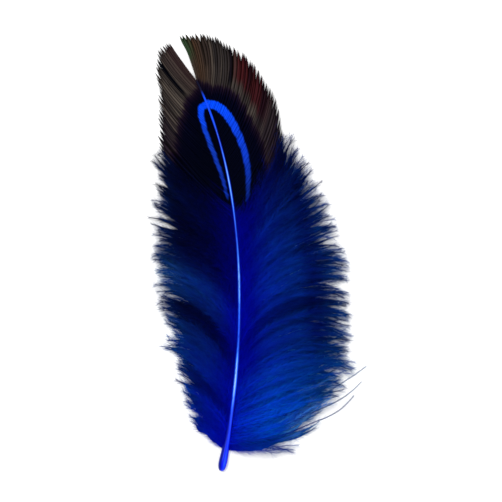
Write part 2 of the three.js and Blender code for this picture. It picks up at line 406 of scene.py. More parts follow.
# The two vanes are the stiff barbs round the tip, hooked to each other by tiny barbules. Each barb is
# a flat blade with a raised rib. They are black inside, taupe at the rim, and cross a blue arch.
# A table in two parts has one for each side: -1 is the left and 1 the right.
VANE_TABLES = {  # share of the route, angle to the shaft at root and at tip, length in mm
    -1: np.array([
        (0.45, 34, 70, 16.5), (0.6, 44, 34, 17), (0.66, 44, 28, 17.2), (0.72, 44, 22, 16.6),
        (0.84, 40, 16, 14.5), (0.93, 32, 10, 12), (1.0, 14, 4, 7.5),
    ]),
    1: np.array([
        (0.45, 36, 74, 18.5), (0.53, 40, 46, 17.5), (0.61, 45, 15, 17), (0.68, 48, 17, 17),
        (0.72, 50, 19, 16.6), (0.84, 54, 13, 14.5), (0.93, 42, 4, 11.5), (1.0, 12, -2, 7.5),
    ]),
}
BARB_ROOT_SHARE = 0.2  # how far from the shaft's middle a barb begins, in shaft widths
VANE_START = 0.545
VANE_END = 0.998
VANE_BARBS = 88  # on each side
VANE_STEPS = 44  # along a barb
VANE_ROOT_SPREAD = 0.15  # share of the gap to the next barb
VANE_SHORTNESS = 0.05  # share of its length that a barb may lack
VANE_SWING = 0.6  # degrees
VANE_WAVE = 0.04  # mm aside
VANE_WAVES = 1.3  # along a barb
VANE_EDGE_HEIGHT = 0.35
VANE_HEIGHT_SPREAD = 0.02
BLADE_TILT = 0.12  # slope across a blade, whose side towards the quill is the higher one
BLADE_MOST_WIDTH = 0.78
BLADE_LEAST_SPACING = 0.14
BLADE_OVERLAP = 1.35
BLADE_TAPERS = [(0.5, 0.78, 1.0), (0.95, 0.9, 1.02)]  # share of the width lost, from and to on the barb
BLADE_TIP_HALF_WIDTH = 0.012
BLADE_SECTION = np.array([  # across in half widths, up in mm, round the blade from its left edge
    (-1, 0.0), (-0.22, 0.012), (0, 0.07), (0.22, 0.012), (1, 0.0), (0, -0.04),
])
VANE_SPLITS = {  # where the blades have come apart: share of the route, opening in mm, share of the barb
    -1: [(0.9, 0.3, 0.35), (0.672, 0.12, 0.6), (0.73, 0.14, 0.5), (0.79, 0.1, 0.6)],
    1: [(0.762, 0.12, 0.6), (0.83, 0.12, 0.7), (0.882, 0.2, 0.45), (0.93, 0.12, 0.5), (0.955, 0.14, 0.4)],
}
SPLIT_REACH = 0.035  # share of the route over which the blades beside a split stand aside
SPLIT_SHADOW = np.array([0.3, 0.9])  # in barbs from the split: full up to the first, none from the second
SPLIT_SHADOW_GROWTH = 2.4  # barbs that a mm of opening adds to both
SPLIT_SHADOW_START = 0.15  # share of the barb over which the shadow sets in
WIDE_SPLIT = 0.25  # mm of opening from which the shadow is full
BLUE_ARCH = np.array([  # mm, up the left of the shaft, across it and down on the right
    (0.35, 39.6), (0.2, 40.5), (-0.5, 43.2), (-1.9, 47.0), (-3.2, 50.5), (-3.9, 53.1), (-3.75, 54.2),
    (-2.7, 54.75), (-1.4, 54.4), (-0.3, 53.6), (0.8, 52.2), (2.05, 49.8), (2.9, 47.5), (3.4, 45.2),
    (3.6, 43.1), (3.5, 40.5), (3.3, 39.4),
])
ARCH_HALF_WIDTHS = np.array([
    0.1, 0.22, 0.3, 0.34, 0.37, 0.43, 0.52, 0.64, 0.68, 0.68, 0.64, 0.58, 0.52, 0.46, 0.4, 0.3, 0.1,
])
RIM_START = {  # share of the route, and how far along the barb the rim begins, in mm
    -1: np.array([
        (0.582, 16.4), (0.611, 15.3), (0.676, 13.0), (0.755, 10.9), (0.879, 6.0), (0.898, 5.0),
        (0.966, 1.2), (1, 0.2),
    ]),
    1: np.array([
        (0.6, 10.5), (0.633, 9.7), (0.721, 9.3), (0.789, 8.1), (0.865, 6.8), (0.899, 5.3),
        (0.938, 2.9), (1, 0.3),
    ]),
}
BLACK_START = {  # how far along the barb in mm, and the share of the route where black takes over from blue
    -1: np.array([(0, 0.655), (3.9, 0.668), (7.8, 0.64), (13.9, 0.59)]),
    1: np.array([(0, 0.662), (1.5, 0.642), (3.2, 0.62), (5.7, 0.606), (8.8, 0.598), (16, 0.59)]),
}
COLOUR_SHIFT = 0.13  # how far a barb's colours begin early or late, times one of the next three
RIM_SHIFT = 1.5
BLACK_SHIFT = 0.06
ARCH_SHIFT = 0.35
LOW_BLUES = {  # of the lowest blades, from 0 to 12 mm along a barb
    -1: [(0.0, (0, 2, 140)), (0.25, (0, 2, 80)), (0.5, (0, 0, 34)), (1.0, (1, 6, 28))],
    1: [(0.0, (0, 2, 140)), (0.25, (0, 2, 80)), (0.5, (2, 10, 74)), (1.0, (6, 20, 62))],
}
ARCH_BLUES = {  # of the arch, brightest at its top and dim down its legs: from y = 40 to 55 mm
    -1: [(0.1, (12, 42, 146)), (0.55, (16, 52, 162)), (0.85, (8, 64, 212)), (1.0, (2, 68, 230))],
    1: [(0.1, (10, 34, 112)), (0.55, (12, 54, 184)), (0.85, (8, 64, 212)), (1.0, (2, 68, 230))],
}
STREAK_SPREAD = 61.0  # how far apart two barbs' streaks lie in the noise
STREAK_FINENESS = 0.22  # noise lengths in a mm of barb
VANE_STREAKS = 0.7


def column(values):
    return np.reshape(np.asarray(values, float), (-1, 1))


def turned_right(directions):
    return directions[..., ::-1] * (1, -1)


def raised(places, heights):
    return np.concatenate([places, heights[..., None]], axis=-1)


def barb_paths(side, table, roots, shares, reach=1.0, swing=0.0, curl=0.0):
    """Places, directions and lengths, seen from above, of barbs at shares of their length. reach
    lengthens a barb. swing turns all of it away from the shaft, and curl its outer part, both in
    degrees."""
    first, last, length = (column(np.interp(roots, table[:, 0], table[:, i])) for i in (1, 2, 3))
    runs = length * shares * column(reach)
    angle = np.radians(first + column(swing) + (last - first) * shares + column(curl) * shares**2)
    step = np.diff(runs, axis=1)
    middle = (angle[:, 1:] + angle[:, :-1]) / 2
    ahead = np.pad(np.cumsum(step * np.cos(middle), axis=1), ((0, 0), (1, 0)))
    across = np.pad(np.cumsum(step * np.sin(middle), axis=1), ((0, 0), (1, 0)))
    across = across + column(shaft_width(roots)) * BARB_ROOT_SHARE
    tangent = route_direction(roots)[:, None, :]
    outward = turned_right(tangent) * side
    places = route_point(roots)[:, None, :] + ahead[..., None] * tangent + across[..., None] * outward
    directions = np.cos(angle)[..., None] * tangent + np.sin(angle)[..., None] * outward
    return places, directions, runs


def fill_mesh(mesh, vertices, corner_list, starts, bake_map):
    mesh.vertices.add(len(vertices))
    mesh.vertices.foreach_set("co", (vertices * MM).astype(np.float32).ravel())
    mesh.loops.add(len(corner_list))
    mesh.loops.foreach_set("vertex_index", corner_list.astype(np.int32))
    mesh.polygons.add(len(starts))
    mesh.polygons.foreach_set("loop_start", starts.astype(np.int32))
    mesh.update(calc_edges=True)
    layer = mesh.uv_layers.new(name="OFBake")
    layer.data.foreach_set("uv", bake_map.astype(np.float32).ravel())
    mesh.validate()


def blade_map(count, steps, corners):
    """The bake map of blades: each is a strip, with its two end caps as small rounds at the ends."""
    share = (np.arange(steps - 1) / (steps - 1))[None, :, None]
    row = (np.arange(count)[:, None, None] + np.arange(corners)[None, None, :] / corners) / count
    share, row = np.broadcast_arrays(share, row)
    next_share, next_row = share + 1 / (steps - 1), row + 1 / (count * corners)
    quad_map = np.stack([
        np.stack([share, row], -1), np.stack([share, next_row], -1),
        np.stack([next_share, next_row], -1), np.stack([next_share, row], -1),
    ], axis=3)
    turn = np.arange(corners) / corners * 2 * math.pi
    cap_share = np.repeat((0.002, 0.998), count)[:, None] + 0.001 * np.cos(turn)
    cap_row = (np.tile(np.arange(count), 2)[:, None] + 0.5 + 0.3 * np.sin(turn)) / count
    cap_map = np.stack([cap_share, cap_row], axis=-1)
    return np.concatenate([quad_map.reshape(-1, 2), cap_map.reshape(-1, 2)])


def blade_mesh(name, places, sideways, half_widths, section, values):
    """One mesh of many closed blades, with a point value for each name in values."""
    count, steps = half_widths.shape
    corners = len(section)
    across = section[:, 0][None, None, :, None] * half_widths[..., None, None] * sideways[:, :, None, :]
    up = np.zeros((1, 1, corners, 3))
    up[..., 2] = section[:, 1]
    fineness = np.minimum(1, half_widths / half_widths.max())[..., None, None]
    vertices = places[:, :, None, :] + across + up * fineness
    numbers = np.arange(count * steps * corners).reshape(count, steps, corners)
    here, ahead = numbers[:, :-1], numbers[:, 1:]
    quads = np.stack([here, np.roll(here, -1, axis=2), np.roll(ahead, -1, axis=2), ahead], axis=-1)
    caps = np.concatenate([numbers[:, 0, ::-1], numbers[:, -1, :]])
    corner_list = np.concatenate([quads.ravel(), caps.ravel()])
    starts = np.concatenate([np.arange(quads.size // 4) * 4, quads.size + np.arange(len(caps)) * corners])
    mesh = bpy.data.meshes.new(name)
    fill_mesh(mesh, vertices.reshape(-1, 3), corner_list, starts, blade_map(count, steps, corners))
    for value_name, value in values.items():
        value = np.asarray(value, float)
        if value.ndim == 2:
            value = np.repeat(value[..., None], corners, axis=2)
        add_attribute(mesh, value_name, value)
    add_attribute(mesh, "aside", np.broadcast_to(np.abs(section[:, 0]), (count, steps, corners)))
    return mesh


def place_in_scene(name, mesh, material, node):
    piece = bpy.data.objects.new(name, mesh)
    bpy.context.collection.objects.link(piece)
    mesh.materials.append(material)
    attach(piece, "root")
    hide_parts(node)


def split_shift(side, roots, shares):
    """How far a vane's blades stand aside where the vane has come apart, in mm along the shaft."""
    shift = np.zeros((len(roots), len(shares)))
    for split, opening, start in VANE_SPLITS[side]:
        away = roots - split
        nearness = np.exp(-np.abs(away) / SPLIT_REACH)[:, None]
        shift += opening / 2 * np.sign(away)[:, None] * nearness * smooth(shares, start, 1.0)[None, :]
    return shift


def split_shadow(side, roots, shares):
    """How deep in a split's shadow the places on a vane lie, from 0 to 1."""
    shadow = np.zeros((len(roots), len(shares)))
    for split, opening, start in VANE_SPLITS[side]:
        away = column(np.abs(roots - split)) * VANE_BARBS / (1 - VANE_START)
        near_split = 1 - smooth(away, *(SPLIT_SHADOW + SPLIT_SHADOW_GROWTH * opening))
        depth = smooth(shares, start, start + SPLIT_SHADOW_START) * min(1.0, opening / WIDE_SPLIT)
        shadow += near_split * depth
    return shadow


def distance_to_arch(places):
    """How far places are outside the blue arch's edge, in mm: below 0 on the blue."""
    fine = np.linspace(0, len(BLUE_ARCH) - 1, 220)
    numbers = np.arange(len(BLUE_ARCH))
    line = np.stack([np.interp(fine, numbers, BLUE_ARCH[:, i]) for i in (0, 1)], axis=-1)
    half = np.interp(fine, numbers, ARCH_HALF_WIDTHS)
    flat = places.reshape(-1, 2)
    gaps = np.linalg.norm(flat[:, None, :] - line[None], axis=-1) - half[None]
    return gaps.min(axis=1).reshape(places.shape[:-1])


def blade_half_widths(places, normals, shares):
    """Each blade overlaps its neighbours a little, and narrows to a point at the rim."""
    gaps = np.abs((np.diff(places, axis=0) * normals[1:]).sum(axis=-1))
    gaps = np.concatenate([gaps[:1], gaps, gaps[-1:]])
    spacing = np.maximum(np.maximum(gaps[1:], gaps[:-1]), BLADE_LEAST_SPACING)
    half_widths = np.minimum(spacing * BLADE_OVERLAP, BLADE_MOST_WIDTH) / 2
    for lost, start, end in BLADE_TAPERS:
        half_widths *= 1 - lost * smooth(shares, start, end)
    return np.maximum(half_widths, BLADE_TIP_HALF_WIDTH)


def make_vane(side, name, seed):
    draw = np.random.default_rng(seed)
    roots = np.linspace(VANE_START, VANE_END, VANE_BARBS)
    spread = draw.uniform(-VANE_ROOT_SPREAD, VANE_ROOT_SPREAD, VANE_BARBS)
    roots = np.clip(roots + spread * (roots[1] - roots[0]), VANE_START, 1)
    shares = np.linspace(0, 1, VANE_STEPS)
    reach = 1 - VANE_SHORTNESS * draw.random(VANE_BARBS) ** 2
    swing = draw.normal(0, VANE_SWING, VANE_BARBS)
    places, directions, runs = barb_paths(side, VANE_TABLES[side], roots, shares, reach, swing)
    normals = turned_right(directions)
    forward = -normals * side
    bend = np.sin(2 * math.pi * (shares * VANE_WAVES + draw.random((VANE_BARBS, 1))))
    aside = split_shift(side, roots, shares) + VANE_WAVE * bend * shares
    places = places + aside[..., None] * forward
    half_widths = blade_half_widths(places, normals, shares)
    heights = mix(column(root_height(roots)), VANE_EDGE_HEIGHT, (shares * column(reach)) ** 2)
    heights = heights + draw.uniform(-VANE_HEIGHT_SPREAD, VANE_HEIGHT_SPREAD, (VANE_BARBS, 1))
    sideways = raised(normals, np.full(normals.shape[:-1], BLADE_TILT * side))
    shift = draw.normal(0, COLOUR_SHIFT, (VANE_BARBS, 1))
    rim_start = column(np.interp(roots, *RIM_START[side].T))
    black_start = np.interp(runs, *BLACK_START[side].T)
    across = BLADE_SECTION[:, :1] * normals[:, :, None]
    corner_places = places[:, :, None] + half_widths[..., None, None] * across
    values = {
        "arch": distance_to_arch(corner_places) + ARCH_SHIFT * shift[..., None],
        "rim": runs - rim_start + RIM_SHIFT * shift,
        "black": column(roots) - black_start + BLACK_SHIFT * shift,
        "edge": np.broadcast_to(shares, runs.shape),
        "along": np.broadcast_to(column(roots), runs.shape),
        "run": runs,
        "strand": np.broadcast_to(draw.random((VANE_BARBS, 1)), runs.shape),
        "split": split_shadow(side, roots, shares),
    }
    return blade_mesh(name, raised(places, heights), sideways, half_widths, BLADE_SECTION, values)


def streak_group():
    """Fine streaks along barbs: a factor round 1 that brightens and darkens a barb's colour."""
    group = bpy.data.node_groups.new("barb streaks", "ShaderNodeTree")
    for socket_name in ("Strand", "Run", "Contrast"):
        group.interface.new_socket(socket_name, in_out="INPUT", socket_type="NodeSocketFloat")
    group.interface.new_socket("Factor", in_out="OUTPUT", socket_type="NodeSocketFloat")
    start = group.nodes.new("NodeGroupInput")
    end = group.nodes.new("NodeGroupOutput")
    place = group.nodes.new("ShaderNodeCombineXYZ")
    across = calculate(group, "MULTIPLY", start.outputs["Strand"], STREAK_SPREAD)
    group.links.new(across, place.inputs[0])
    group.links.new(calculate(group, "MULTIPLY", start.outputs["Run"], STREAK_FINENESS), place.inputs[1])
    noise = group.nodes.new("ShaderNodeTexNoise")
    noise.noise_dimensions = "2D"
    noise.inputs["Scale"].default_value = 1.0
    noise.inputs["Detail"].default_value = 2.0
    group.links.new(place.outputs[0], noise.inputs["Vector"])
    centred = calculate(group, "SUBTRACT", noise.outputs["Fac"], 0.5)
    swing = calculate(group, "MULTIPLY", centred, start.outputs["Contrast"])
    group.links.new(calculate(group, "ADD", swing, 1.0), end.inputs["Factor"])
    return group


barb_streaks = streak_group()


def streaks(tree, strand, run, contrast):
    node = tree.nodes.new("ShaderNodeGroup")
    node.node_tree = barb_streaks
    tree.links.new(strand, node.inputs["Strand"])
    tree.links.new(run, node.inputs["Run"])
    node.inputs["Contrast"].default_value = contrast
    return node.outputs["Factor"]


def scaled_colour(tree, colour, factor):
    node = tree.nodes.new("ShaderNodeVectorMath")
    node.operation = "SCALE"
    tree.links.new(colour, node.inputs[0])
    tree.links.new(factor, node.inputs["Scale"])
    return node.outputs[0]


def shifted(tree, value, low, high):
    """0 at low, 1 at high, straight between."""
    node = tree.nodes.new("ShaderNodeMapRange")
    node.inputs["From Min"].default_value = low
    node.inputs["From Max"].default_value = high
    tree.links.new(value, node.inputs["Value"])
    return node.outputs["Result"]


def rim_colour(side, tree, along, rim, strand):
    taupe = screen_ramp(tree, strand, [
        (0.0, (38, 33, 29)), (0.4, (60, 53, 47)), (0.75, (76, 68, 60)), (1.0, (44, 38, 33)),
    ])
    if side > 0:
        # the right side's rim is darker, reddish outside its middle and warm by the notch, where a faint
        # green is a painted iridescent glint
        taupe = blend_colours(tree, 0.28, taupe, display(10, 6, 14))
        red_reach = share_ramp(tree, along, (0.715, 0), (0.76, 1), (0.86, 1), (0.89, 0))
        red_share = calculate(tree, "MULTIPLY", shifted(tree, rim, 1.0, 2.4), red_reach)
        red = screen_ramp(tree, strand, [(0.0, (39, 14, 15)), (0.5, (58, 18, 15)), (1.0, (44, 15, 15))])
        taupe = blend_colours(tree, red_share, taupe, red)
        warm_share = share_ramp(tree, along, (0.93, 0), (0.97, 0.7), (1.0, 0.3))
        taupe = blend_colours(tree, warm_share, taupe, display(62, 42, 24))
        # a faint painted green glint by the notch
        green_glint_reach = share_ramp(tree, along, (0.975, 0), (0.99, 0.6))
        green_glint_share = calculate(tree, "MULTIPLY", green_glint_reach, shifted(tree, rim, 2.5, 4.5))
        taupe = blend_colours(tree, green_glint_share, taupe, display(24, 66, 34))
    else:
        # the left side's rim darkens towards the notch
        dark_share = share_ramp(tree, along, (0.91, 0), (1.0, 0.75))
        taupe = blend_colours(tree, dark_share, taupe, display(44, 22, 24))
    purple_share = share_ramp(tree, along, (0.62, 0.95), (0.7, 0.7), (0.8, 0))
    return blend_colours(tree, purple_share, taupe, display(28, 17, 28))


def vane_material(side, name):
    material, tree, shader = new_material(name, roughness=0.5, specular=0.04)
    arch, rim, black, split = attributes(tree, "arch", "rim", "black", "split")
    along, aside, edge, run, strand = attributes(tree, "along", "aside", "edge", "run", "strand")
    inside = screen_ramp(tree, shifted(tree, rim, -5.0, 0.2), [
        (0.0, (0, 0, 8)), (0.66, (1, 0, 12)), (0.84, (14, 5, 18)), (0.95, (28, 17, 25)), (1.0, (40, 31, 32)),
    ])
    outside = rim_colour(side, tree, along, rim, strand)
    colour = blend_colours(tree, shifted(tree, rim, -0.25, 0.5), inside, outside)
    low_blue = screen_ramp(tree, shifted(tree, run, 0.0, 12.0), LOW_BLUES[side])
    colour = blend_colours(tree, shifted(tree, black, -0.035, 0.03), low_blue, colour)

    # a blade is darker away from its rib, partly from its darker barbules and partly as painted shade in
    # the gaps between barbs, and it is darker at its tip
    colour = shaded(tree, colour, share_ramp(tree, aside, (0.0, 1), (0.3, 0.84), (0.7, 0.56), (1.0, 0.12)))
    colour = shaded(tree, colour, share_ramp(tree, edge, (0.86, 1), (1.0, 0.35)))

    place = tree.nodes.new("ShaderNodeTexCoord")
    parts = tree.nodes.new("ShaderNodeSeparateXYZ")
    tree.links.new(place.outputs["Object"], parts.inputs[0])
    up_arch = shifted(tree, parts.outputs["Y"], 40 * MM, 55 * MM)
    arch_colour = screen_ramp(tree, up_arch, ARCH_BLUES[side])
    # the arch's blades get a milder painted shade at their edges
    gap_shade_share = calculate(tree, "MULTIPLY", aside, 0.3)
    arch_colour = blend_colours(tree, gap_shade_share, arch_colour, display(0, 20, 150))
    colour = blend_colours(tree, shifted(tree, arch, 0.1, -0.14), colour, arch_colour)
    colour = scaled_colour(tree, colour, streaks(tree, strand, run, VANE_STREAKS))
    shadow = calculate(tree, "SUBTRACT", 1.12, calculate(tree, "MULTIPLY", split, 1.1))
    tree.links.new(scaled_colour(tree, colour, shadow), shader.inputs["Base Color"])
    return material


for side, word, seed in ((-1, "left", 11), (1, "right", 12)):
    mesh = make_vane(side, f"{word} vane barbs", seed)
    material = vane_material(side, f"{word} vane")
    place_in_scene(f"{word}_vane_barbs", mesh, material, f"{word}_vane")


# The down is the loose barbs from the quill to the vane. Each has a thread-like rib with long soft
# barbules that hook to nothing, so the barbs stand in fluffy locks, dense and deep blue by the shaft.
DOWN_TABLES = {  # share of the route, angle to the shaft at root and at tip, length in mm
    -1: np.array([
        (0.072, 56, 58, 5.8), (0.14, 34, 68, 11.3), (0.2, 26, 76, 14.2), (0.28, 20, 82, 16.4),
        (0.37, 20, 82, 17.2), (0.45, 22, 80, 17.2), (0.53, 32, 58, 17), (0.61, 43, 34, 17),
        (0.65, 44, 30, 17),
    ]),
    1: np.array([
        (0.072, 84, 44, 15.2), (0.1, 76, 50, 16.4), (0.14, 62, 66, 17.2), (0.2, 42, 86, 19.4),
        (0.28, 22, 100, 20.2), (0.37, 20, 94, 20.4), (0.45, 21, 86, 19.8), (0.53, 30, 58, 17.8),
        (0.61, 43, 20, 17), (0.65, 45, 18, 16.8),
    ]),
}
LOCK_SHADES = {  # how light the down is at a share of the route: locks lie in light and in shadow
    -1: np.array([
        (0.07, 0.8), (0.12, 0.7), (0.15, 0.35), (0.19, 0.8), (0.225, 0.9), (0.26, 0.2), (0.3, 0.05),
        (0.335, 0.6), (0.37, 0.9), (0.4, 0.5), (0.43, 0.1), (0.5, 0.0), (0.55, 0.1), (0.6, 0.1),
        (0.65, 0.0),
    ]),
    1: np.array([
        (0.07, 1.0), (0.11, 0.8), (0.14, 1.0), (0.18, 0.7), (0.21, 0.95), (0.25, 0.7), (0.29, 0.85),
        (0.33, 0.3), (0.36, 0.85), (0.41, 0.95), (0.46, 0.6), (0.5, 0.65), (0.54, 0.3), (0.58, 0.25),
        (0.65, 0.05),
    ]),
}
DOWN_START = 0.072
DOWN_END = 0.635
DOWN_BARBS = 200  # in a layer
DOWN_STEPS = 22
DOWN_ROOT_SPREAD = 0.002
DOWN_LONGEST = 1.03  # times the table's length
DOWN_SHORTNESS = 0.26
DOWN_SWING = 4.0  # degrees
DOWN_CURL = 13.0
LOW_RIGHT_CURL = -12.0  # of the barbs nearest the quill on the right
LOW_RIGHT_REACH = (0.12, 0.26)
DOWN_WAVE = 0.3
DOWN_WAVES = (0.8, 2.4)  # fewest and most along a barb
DOWN_TIP_HEIGHT = 0.8
DOWN_TIP_SPREAD = 0.35
DOWN_LEAST_HEIGHT = (0.1, 0.4)
DOWN_RISE = {1: (0.1, 1.9), -1: (-1.5, 0)}  # lowest and highest of the upper layer and of the under one
DOWN_FULL_LENGTH = 14  # shorter barbs swell less
LOCK_BARBS = (6, 13)  # fewest barbs in a lock, and one more than the most
LOCK_SWING = 3.0
LOCK_CURL = 6.0
LOCK_TIGHTNESS = {-1: 0.55, 1: 0.3}
LOCK_GATHERING = (0.2, 0.9)  # share of a barb over which it draws to its lock
UNDER_TIGHTNESS = 0.35  # times that of the upper layer
LOCK_SHADE_SPREAD = 0.1
BARB_SHADE_SPREAD = 0.12
BARBULE_SHADE_SPREAD = 0.08
DARK_SPREAD = 0.3  # share of these spreads that the darkest down has
STRAYS = np.array([  # on the lower right: number from the quill, reach, swing, curl and fluffiness
    (0, 0.56, 4, 46, 1), (1, 0.68, 6, 38, 1), (2, 0.62, 4, 42, 1), (3, 0.72, 6, 32, 1),
    (4, 0.65, 8, 40, 1), (7, 1.34, 0, -9, 0.5), (11, 1.4, -4, -6, 0.45), (18, 1.42, -2, -21, 0.5),
])
STRAY_SHADE = 0.2
RIB_HALF_WIDTH = 0.06
RIB_TIP_SHARE = 0.3
BARE_RIB_GROWTH = 3.2  # times the width, on a barb without barbules
UNDER_HALF_WIDTH = 0.34
UNDER_TIP_HALF_WIDTH = 0.02
RIB_SECTION = np.array([(-1, -0.03), (0, 0.05), (1, -0.03)])
BARBULE_GAP = 0.165  # mm between barbules on one side of a rib
BARBULE_LEAST = 8  # on a barb
BARBULE_LENGTH = 1.9
BARBULE_LENGTHS = (0.6, 1.25)  # shortest and longest, times that
BARBULE_WIDTH = 0.052
BARBULE_START = 0.02  # share of the barb
BARBULE_SPAN = 0.97
BARBULE_LEAN = (40, 24)  # degrees from the barb, near the shaft and at the tip
BARBULE_LEAN_SPREAD = 14
BARBULE_ROLL = 0.5  # radians out of the barb's plane
BARBULE_LOWEST = 0.05
RIB_MAP_SHARE = 0.3  # of its strip in the bake map, the rest being the barbules'


def along_path(path, number, share):
    """Places on numbered paths at shares of their steps."""
    position = share * (path.shape[1] - 1)
    low = np.minimum(position.astype(int), path.shape[1] - 2)
    part = (position - low)[:, None]
    return path[number, low] * (1 - part) + path[number, low + 1] * part


def unit(vectors):
    return vectors / np.linalg.norm(vectors, axis=1, keepdims=True)


def down_heights(draw, layer, roots, shares, full_lengths):
    """The upper layer swells above the line from shaft to tip, and the other hangs under it."""
    count = len(roots)
    rise = draw.uniform(*DOWN_RISE[layer], count)
    hang = mix(column(root_height(roots)), DOWN_TIP_HEIGHT, shares**1.5)
    fullness = np.minimum(1, full_lengths / DOWN_FULL_LENGTH)
    swell = rise * fullness * mix(0.3, 1, 1 - smooth(roots, 0.5, DOWN_END))
    heights = hang + column(swell) * np.sin(math.pi * shares**0.9)
    heights = heights + draw.normal(0, DOWN_TIP_SPREAD, (count, 1)) * shares**2
    return np.maximum(heights, draw.uniform(*DOWN_LEAST_HEIGHT, (count, 1)))


def barbule_spikes(draw, path, lengths, fluffiness):
    """The barbules, fine spikes on both sides of each rib: the barb's number, the share of the barb,
    and the spike's three base corners and its end."""
    per_barb = np.maximum(BARBULE_LEAST, (lengths * 2 / BARBULE_GAP).astype(int))
    number = np.repeat(np.arange(len(lengths)), per_barb)
    order = np.arange(len(number)) - np.repeat(np.cumsum(per_barb) - per_barb, per_barb)
    share = (order + draw.random(len(order))) / per_barb[number]
    share = BARBULE_START + BARBULE_SPAN * share
    hand = np.where(order % 2 == 0, -1.0, 1.0)
    at = along_path(path, number, share)
    behind = along_path(path, number, share - BARBULE_START)
    ahead = along_path(path, number, np.minimum(1, share + BARBULE_START))
    forward = unit(ahead - behind)
    flat_side = unit(np.stack([forward[:, 1], -forward[:, 0], np.zeros(len(forward))], axis=1))
    upright = np.cross(flat_side, forward)
    roll = draw.normal(0, BARBULE_ROLL, len(number))
    lean = np.radians(draw.normal(mix(*BARBULE_LEAN, share), BARBULE_LEAN_SPREAD))
    out = (np.cos(roll) * hand)[:, None] * flat_side + np.sin(roll)[:, None] * upright
    aim = np.cos(lean)[:, None] * forward + np.sin(lean)[:, None] * out
    size = BARBULE_LENGTH * draw.uniform(*BARBULE_LENGTHS, len(share)) * fluffiness[number]
    size *= mix(0.75, 1.0, np.sin(math.pi * share**0.8)) * mix(1, 0.8, smooth(share, 0.6, 1))
    ends = at + aim * size[:, None]
    ends[:, 2] = np.maximum(ends[:, 2], BARBULE_LOWEST)
    radius = column(BARBULE_WIDTH * mix(1, 0.9, share)) / 1.7
    base_turn = draw.random(len(number)) * 2 * math.pi
    second = np.cross(aim, out)
    base = []
    for corner in range(3):
        turn = column(base_turn + corner * 2 * math.pi / 3)
        base.append(at + radius * (np.cos(turn) * out + np.sin(turn) * second))
    return number, share, np.stack([*base, ends], axis=1)


def spike_faces(spikes, first):
    """The triangles of spikes, facing outward, where first is the number of their first vertex."""
    a, b, c, d = first + np.arange(len(spikes) * 4).reshape(-1, 4).T
    faces = np.stack([a, b, d, b, c, d, c, a, d, a, c, b], axis=1).reshape(-1, 3)
    to_second, to_third, to_end = (spikes[:, corner] - spikes[:, 0] for corner in (1, 2, 3))
    volume = (np.cross(to_second, to_third) * to_end).sum(axis=1)
    wrong = np.repeat(volume < 0, 4)
    faces[wrong] = faces[wrong][:, ::-1]
    return faces


def spike_map(number, share, lengths):
    """The bake map of spikes: each has a cell of its own in its barb's strip, above the rib's part."""
    cell = 0.4 / (lengths[number] / BARBULE_GAP)
    corner_u = np.array([(0, 0.33, 0.17), (0.33, 0.67, 0.5), (0.67, 1.0, 0.83), (0, 0.33, 0.17)])
    corner_v = np.array([(0.35, 0.35, 0.98), (0.35, 0.35, 0.98), (0.35, 0.35, 0.98), (0.34, 0.34, 0.3)])
    u = share[:, None, None] * 0.98 + cell[:, None, None] * corner_u[None]
    v = (number[:, None, None] + corner_v[None]) / len(lengths)
    return np.stack([np.minimum(u, 1), v], axis=-1).reshape(-1, 2)


def with_barbules(ribs, name, number, share, spikes, lengths, spike_values):
    """A new mesh of the ribs and their barbules, in place of the ribs' own."""
    count = len(lengths)
    faces = spike_faces(spikes, len(ribs.vertices))
    corner_list = read_all(ribs.loops, "vertex_index", kind=np.int32)
    starts = read_all(ribs.polygons, "loop_start", kind=np.int32)
    rib_map = read_all(ribs.uv_layers["OFBake"].data, "uv", width=2)
    rib_row = np.floor(rib_map[:, 1] * count)
    rib_map[:, 1] = (rib_row + (rib_map[:, 1] * count - rib_row) * RIB_MAP_SHARE) / count
    mesh = bpy.data.meshes.new(name)
    fill_mesh(
        mesh,
        np.concatenate([places_of(ribs), spikes.reshape(-1, 3)]),
        np.concatenate([corner_list, faces.ravel()]),
        np.concatenate([starts, len(corner_list) + np.arange(len(faces)) * 3]),
        np.concatenate([rib_map, spike_map(number, share, lengths)]),
    )
    for value_name, at_spike in spike_values.items():
        rib_values = read_all(ribs.attributes[value_name].data, "value")
        add_attribute(mesh, value_name, np.concatenate([rib_values, np.repeat(at_spike, 4)]))
    bpy.data.meshes.remove(ribs)
    return mesh


